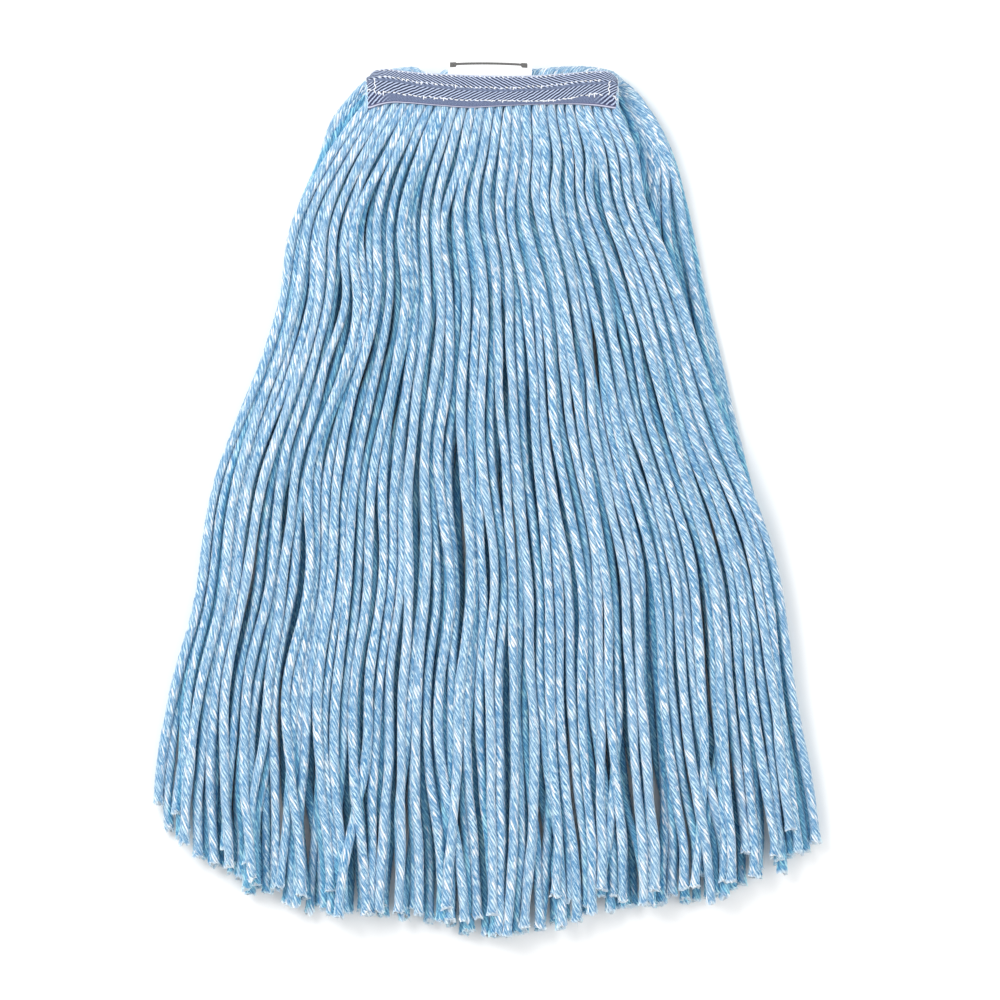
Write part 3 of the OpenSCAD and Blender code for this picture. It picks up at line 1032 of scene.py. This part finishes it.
def build_label():
    low, high = node_box("care_label")
    middle = (low[0] + high[0]) / 2
    half = (high[0] - low[0]) / 2
    height = high[1] - low[1]
    strip_half = half - 2.2

    def on_label(s, v, deep=0.0):
        """The label comes out from under the tape and stands a little off the yarn, bowed along its width."""
        lift = -1.9 + 1.5 * smooth_step((v - 0.4) / 4.5) + 0.28 * np.cos(s / 17) + 0.12 * np.sin(s / 6) * v / height
        ridge = 0.045 * np.sin(2 * math.pi * v / 0.8) + 0.03 * np.sin(2 * math.pi * s / 0.9)
        hem = 0.16 * inside_zone(v, (height - 3.1, height + 1), 0.3)
        slope = -0.35 * s / half * v / height
        skin = (ridge + hem) * (1 - np.clip(deep / LABEL_T, 0, 1))
        return np.stack([middle + s, low[1] + v + slope, lift + skin - deep], -1)

    def on_edge(s, v, deep=0.0):
        """A dark woven strip, bowed along the label, with a thicker block at each end."""
        block = smooth_step((np.abs(s - STRIP_MIDDLE) - (strip_half - 4.2)) / 0.5)
        across = (v - STRIP_W / 2) * (1 + 1.1 * block) - 0.35 * block
        bow = 0.8 * (1 - ((s - STRIP_MIDDLE) / strip_half) ** 2)
        rib = 0.1 * np.abs(np.sin(math.pi * s / RIB_PITCH)) + 0.05 * np.sin(2 * math.pi * v / 0.7)
        base = on_label(s, height - STRIP_DOWN + bow + across, 0.0)
        base[..., 2] += (0.4 + 0.15 * block + rib) * (1 - np.clip(deep / LABEL_T, 0, 1)) - deep + 0.1
        return base

    outline = cloth_outline(0, height - 0.1, LABEL_T, 0.3)
    label = shell("woven_label", np.arange(-half, half, 0.4), outline, on_label)
    finish_piece(label, label_material("label_cloth", rgb(236, 238, 240), rgb(255, 255, 255)))
    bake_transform(label)
    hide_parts("care_label")
    along = np.arange(STRIP_MIDDLE - strip_half, STRIP_MIDDLE + strip_half, 0.25)
    strip = shell("label_edge_strip", along, cloth_outline(0, STRIP_W, LABEL_T, 0.2), on_edge)
    finish_piece(strip, label_material("label_edge_cloth", rgb(62, 62, 62), rgb(112, 110, 108)))
    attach(strip, "label_flap")
    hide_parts("label_border")


def label_material(name, dark, light):
    m = Nodes(name, roughness=0.7)
    s, v = m.uv("tape")
    weft = m.noise(m.vector(m.math("MULTIPLY", s, 0.6), m.math("MULTIPLY", v, 4.0)), 1.5, 2.0, 0.6)
    m.colour(m.mix(m.span(weft, 0.35, 0.65), dark, light))
    m.bump(weft, 0.4, 0.00015)
    m.shader.inputs["Sheen Weight"].default_value = 0.2
    return m.material


# ---------------------------------------------------------------- stage, light and camera
# What the camera sees: its middle in the frame's plan and the width of the view
VIEW_MIDDLE = (5.2, -268.0)
VIEW_WIDTH = 655.0
# The height of the plane that has that width, and a long lens, so that the view is nearly square-on
VIEW_PLANE = -14.0
LENS = 300.0
SENSOR = 36.0
FLOOR_HALF = 6.0
FLOOR_BELOW = 0.0002


def build_stage():
    low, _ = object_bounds()
    floor_mesh = bpy.data.meshes.new("floor")
    corners = [(x * FLOOR_HALF, y * FLOOR_HALF, 0) for x, y in ((-1, -1), (1, -1), (1, 1), (-1, 1))]
    floor_mesh.from_pydata(corners, [], [(0, 1, 2, 3)])
    floor = bpy.data.objects.new("floor", floor_mesh)
    floor.location.z = low[2] - FLOOR_BELOW
    m = Nodes("floor_paint", roughness=0.7)
    m.shader.inputs["Base Color"].default_value = (0.93, 0.93, 0.93, 1)
    floor.data.materials.append(m.material)
    bpy.context.scene.collection.objects.link(floor)


def area_light(name, place, target, size, power):
    data = bpy.data.lights.new(name, "AREA")
    data.shape = "DISK"
    data.size = size
    data.energy = power
    lamp = bpy.data.objects.new(name, data)
    lamp.location = place
    aim = Vector(target) - Vector(place)
    lamp.rotation_mode = "QUATERNION"
    lamp.rotation_quaternion = aim.to_track_quat("-Z", "Y")
    bpy.context.scene.collection.objects.link(lamp)


def build_lights():
    world = bpy.data.worlds.new("studio")
    world.use_nodes = True
    world.node_tree.nodes["Background"].inputs[0].default_value = (1, 1, 1, 1)
    world.node_tree.nodes["Background"].inputs[1].default_value = 0.96
    bpy.context.scene.world = world
    middle = (VIEW_MIDDLE[0] * MM, VIEW_MIDDLE[1] * MM, 0)
    area_light("key", (-1.0, 0.55, 1.5), middle, 1.1, 21)
    area_light("fill", (1.2, -0.6, 1.6), middle, 1.6, 6)
    bpy.context.scene.view_settings.view_transform = "Standard"


def build_camera():
    data = bpy.data.cameras.new("camera")
    data.lens, data.sensor_width = LENS, SENSOR
    camera = bpy.data.objects.new("camera", data)
    height = VIEW_WIDTH * MM * LENS / SENSOR
    camera.location = (VIEW_MIDDLE[0] * MM, VIEW_MIDDLE[1] * MM, VIEW_PLANE * MM + height)
    bpy.context.scene.collection.objects.link(camera)
    bpy.context.scene.camera = camera


build_yarn()
build_tapes()
build_sewing()
build_label()
build_stage()
build_lights()
build_camera()
